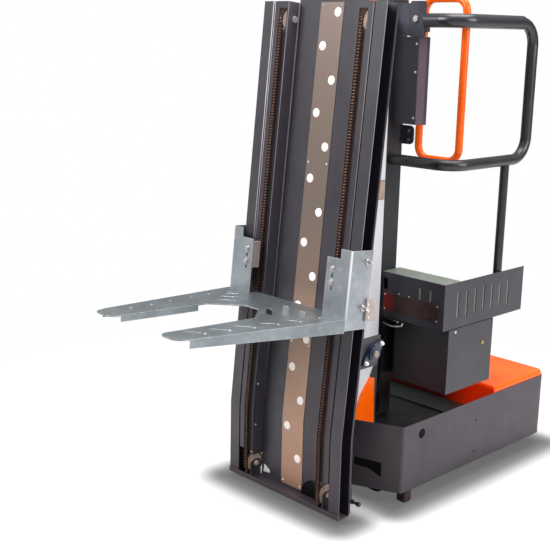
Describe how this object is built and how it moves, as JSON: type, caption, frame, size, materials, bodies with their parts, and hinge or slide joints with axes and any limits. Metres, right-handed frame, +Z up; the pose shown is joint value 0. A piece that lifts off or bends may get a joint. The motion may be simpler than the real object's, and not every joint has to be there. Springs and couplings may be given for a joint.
{
  "type": "order picker",
  "caption": "Ride-on order picker: a leaning chain-driven fork mast with a sliding fork deck in front of a telescopic mast with an operator platform on a wheeled chassis.",
  "frame": {"origin": "on the floor, under the middle of the overall length and width", "axes": "+Z up, forks point to -Y, +X to the operator left-hand side seen from the forks (the near side in the picture)"},
  "size_m": [0.852, 2.2886, 2.228],
  "materials": {
    "charcoal": "fine-textured dark grey powder coat",
    "dark_sheet": "satin dark grey powder coat on folded sheet",
    "orange": "semi-gloss orange powder coat",
    "green_grey": "satin green-grey paint",
    "galvanised": "hot-dip galvanised, faint spangle",
    "stainless": "brushed stainless strip",
    "aluminium": "bare extruded aluminium",
    "bright_steel": "zinc plated",
    "chain_steel": "oiled dark chain steel",
    "bearing_blue": "blue painted cast housing",
    "white_nylon": "white sliding plastic",
    "black_nylon": "black plastic",
    "black_rubber": "dark rubber",
    "red_plastic": "gloss red plastic",
    "chrome": "hard chrome",
    "brass": "brass",
    "label": "bare dark anodised plate"
  },
  "bodies": {
    "chassis": {"chassis_tray": "charcoal", "deck_plate": "dark_sheet", "battery_cover": "green_grey", "rear_housing": "orange", "battery_pack": "black_nylon", "drive_motors": "dark_sheet", "corner_feet": "black_rubber", "mast_brackets": "orange", "mast_outer": "aluminium", "lift_cylinder": "dark_sheet", "fork_panel": "charcoal", "roller_channels": "charcoal", "panel_foot": "charcoal", "centre_strip": "stainless", "glide_buttons": "white_nylon", "panel_screws": "bright_steel", "panel_stays": "dark_sheet", "flange_bearings": "bearing_blue", "lift_gearmotor": "dark_sheet", "chain_left": "chain_steel", "chain_right": "chain_steel", "chain_shoes": "black_nylon", "sprocket_mounts": "dark_sheet"},
    "mast_stage": {"mast_inner": "aluminium", "cylinder_rod": "chrome"},
    "platform": {"platform_post": "dark_sheet", "post_shoes": "black_nylon", "platform_tray": "charcoal", "floor_mat": "black_rubber", "tray_lids": "galvanised", "label_plate": "label", "under_box": "charcoal", "box_cover": "charcoal", "guard_rails": "dark_sheet", "rail_brackets": "dark_sheet", "control_covers": "charcoal", "cover_screws": "bright_steel", "console": "black_nylon", "post_cable": "black_rubber"},
    "fork_carriage": {"carriage_brackets": "galvanised", "fork_deck": "galvanised", "carriage_bolts": "bright_steel", "chain_anchors": "white_nylon"},
    "gate_left": {"gate_left": "orange"},
    "gate_right": {"gate_right": "orange"},
    "joystick": {"joystick": "black_nylon"},
    "lift_rocker": {"lift_rocker": "black_nylon"},
    "emergency_stop": {"emergency_stop": "red_plastic"},
    "cover_lock": {"cover_lock": "brass"},
    "upper_rollers": {"upper_rollers": "black_nylon"},
    "lower_rollers": {"lower_rollers": "black_nylon"},
    "top_sprockets": {"top_sprockets": "chain_steel"},
    "bottom_sprockets": {"bottom_sprockets": "chain_steel"},
    "drive_shaft": {"drive_shaft": "bright_steel"},
    "caster_fork_left": {"caster_fork_left": "bright_steel"},
    "caster_fork_right": {"caster_fork_right": "bright_steel"},
    "caster_wheel_left": {"caster_wheel_left": "black_rubber"},
    "caster_wheel_right": {"caster_wheel_right": "black_rubber"},
    "drive_wheel_left": {"drive_wheel_left": "black_rubber"},
    "drive_wheel_right": {"drive_wheel_right": "black_rubber"}
  },
  "joints": [
    {"name": "stage_lift", "type": "slide", "parent": "chassis", "child": "mast_stage", "axis": [0, 0, 1], "range_m": [0, 1.3]},
    {"name": "platform_lift", "type": "slide", "parent": "mast_stage", "child": "platform", "axis": [0, 0, 1], "range_m": [0, 1.3]},
    {"name": "fork_lift", "type": "slide", "parent": "chassis", "child": "fork_carriage", "axis": [0, 0.0958, 0.9954], "range_m": [-0.508, 0.9906]},
    {"name": "upper_roller_spin", "type": "hinge", "parent": "fork_carriage", "child": "upper_rollers", "pos_m": [0, -0.2282, 1.14925], "axis": [1, 0, 0], "continuous": true},
    {"name": "lower_roller_spin", "type": "hinge", "parent": "fork_carriage", "child": "lower_rollers", "pos_m": [0, -0.24679, 0.95614], "axis": [1, 0, 0], "continuous": true},
    {"name": "top_sprocket_spin", "type": "hinge", "parent": "chassis", "child": "top_sprockets", "pos_m": [0, -0.12973, 2.10923], "axis": [1, 0, 0], "continuous": true},
    {"name": "bottom_sprocket_spin", "type": "hinge", "parent": "chassis", "child": "bottom_sprockets", "pos_m": [0, -0.29671, 0.097], "axis": [1, 0, 0], "continuous": true},
    {"name": "drive_shaft_spin", "type": "hinge", "parent": "chassis", "child": "drive_shaft", "pos_m": [0, -0.14771, 0.737], "axis": [1, 0, 0], "continuous": true},
    {"name": "caster_swivel_left", "type": "hinge", "parent": "chassis", "child": "caster_fork_left", "pos_m": [-0.225, 0.10429, 0.2], "axis": [0, 0, 1], "continuous": true},
    {"name": "caster_swivel_right", "type": "hinge", "parent": "chassis", "child": "caster_fork_right", "pos_m": [0.225, 0.10429, 0.2], "axis": [0, 0, 1], "continuous": true},
    {"name": "caster_roll_left", "type": "hinge", "parent": "caster_fork_left", "child": "caster_wheel_left", "pos_m": [-0.225, 0.06929, 0.075], "axis": [1, 0, 0], "continuous": true},
    {"name": "caster_roll_right", "type": "hinge", "parent": "caster_fork_right", "child": "caster_wheel_right", "pos_m": [0.225, 0.06929, 0.075], "axis": [1, 0, 0], "continuous": true},
    {"name": "drive_roll_left", "type": "hinge", "parent": "chassis", "child": "drive_wheel_left", "pos_m": [-0.3, 0.91429, 0.115], "axis": [1, 0, 0], "continuous": true},
    {"name": "drive_roll_right", "type": "hinge", "parent": "chassis", "child": "drive_wheel_right", "pos_m": [0.3, 0.91429, 0.115], "axis": [1, 0, 0], "continuous": true},
    {"name": "gate_swing_right", "type": "hinge", "parent": "platform", "child": "gate_right", "pos_m": [0.124, 0.36429, 1.615], "axis": [0, 0, 1], "range_deg": [0, 90]},
    {"name": "gate_swing_left", "type": "hinge", "parent": "platform", "child": "gate_left", "pos_m": [-0.124, 0.36429, 1.615], "axis": [0, 0, -1], "range_deg": [0, 90]},
    {"name": "joystick_tilt", "type": "hinge", "parent": "platform", "child": "joystick", "pos_m": [-0.045, 0.38629, 1.931], "axis": [1, 0, 0], "range_deg": [-18, 18], "stiffness_Nm_per_rad": 1.5},
    {"name": "rocker_press", "type": "hinge", "parent": "platform", "child": "lift_rocker", "pos_m": [0, 0.42529, 1.85], "axis": [1, 0, 0], "range_deg": [-10, 10], "stiffness_Nm_per_rad": 0.3},
    {"name": "stop_press", "type": "slide", "parent": "platform", "child": "emergency_stop", "axis": [0, 0, -1], "range_m": [0, 0.006]},
    {"name": "lock_turn", "type": "hinge", "parent": "platform", "child": "cover_lock", "pos_m": [0.416, 0.54429, 0.666], "axis": [1, 0, 0], "range_deg": [0, 90]}
  ],
  "couplings": [
    {"joint": "platform_lift", "follows": "stage_lift", "ratio": 1},
    {"joint": "upper_roller_spin", "follows": "fork_lift", "rad_per_m": 35.088},
    {"joint": "lower_roller_spin", "follows": "fork_lift", "rad_per_m": -35.088},
    {"joint": "top_sprocket_spin", "follows": "fork_lift", "rad_per_m": -20.555},
    {"joint": "bottom_sprocket_spin", "follows": "fork_lift", "rad_per_m": -20.555},
    {"joint": "drive_shaft_spin", "follows": "fork_lift", "rad_per_m": -20.555}
  ]
}
